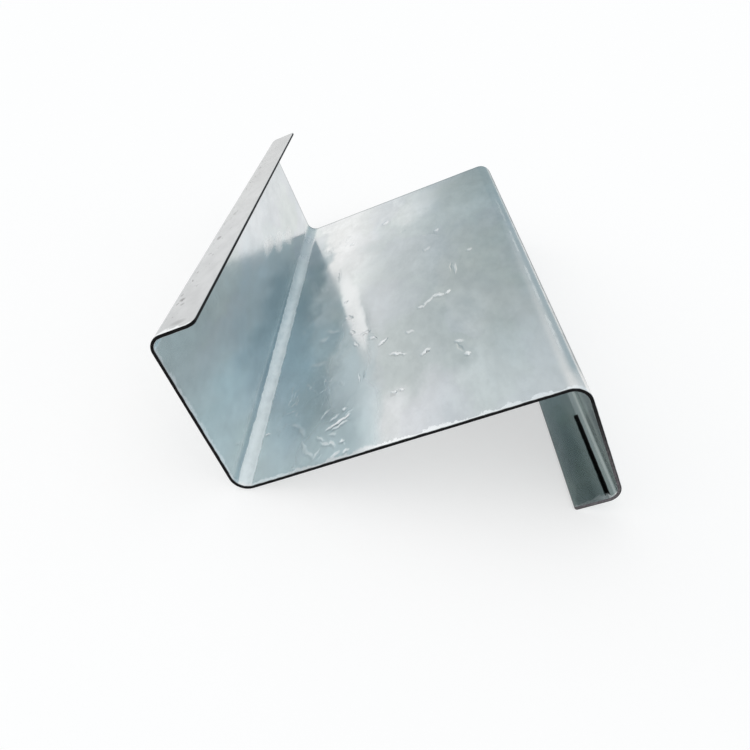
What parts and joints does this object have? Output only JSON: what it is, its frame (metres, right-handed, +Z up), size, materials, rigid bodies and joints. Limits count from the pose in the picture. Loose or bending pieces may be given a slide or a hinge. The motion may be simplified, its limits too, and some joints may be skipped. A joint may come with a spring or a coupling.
{
  "type": "z purlin",
  "caption": "Short cut length of cold-rolled galvanised steel Z purlin: a web with a broad and a narrow flange turned opposite ways, each ending in a stiffening lip.",
  "frame": {"origin": "bottom centre of the bounding box, on the floor that the piece rests on", "axes": "+Y along the purlin's length, +Z up. The web climbs towards +X at 24.98 degrees, with the broad flange standing on its -X side and the narrow flange hanging on its +X side."},
  "size_m": [0.1894, 0.318, 0.0778],
  "materials": {
    "galvanised_steel": "glossy hot-dip galvanised sheet, blue-grey, with faint spangle, scuffs and scratches"
  },
  "bodies": {
    "root": {"z_purlin": "galvanised_steel"}
  },
  "joints": []
}
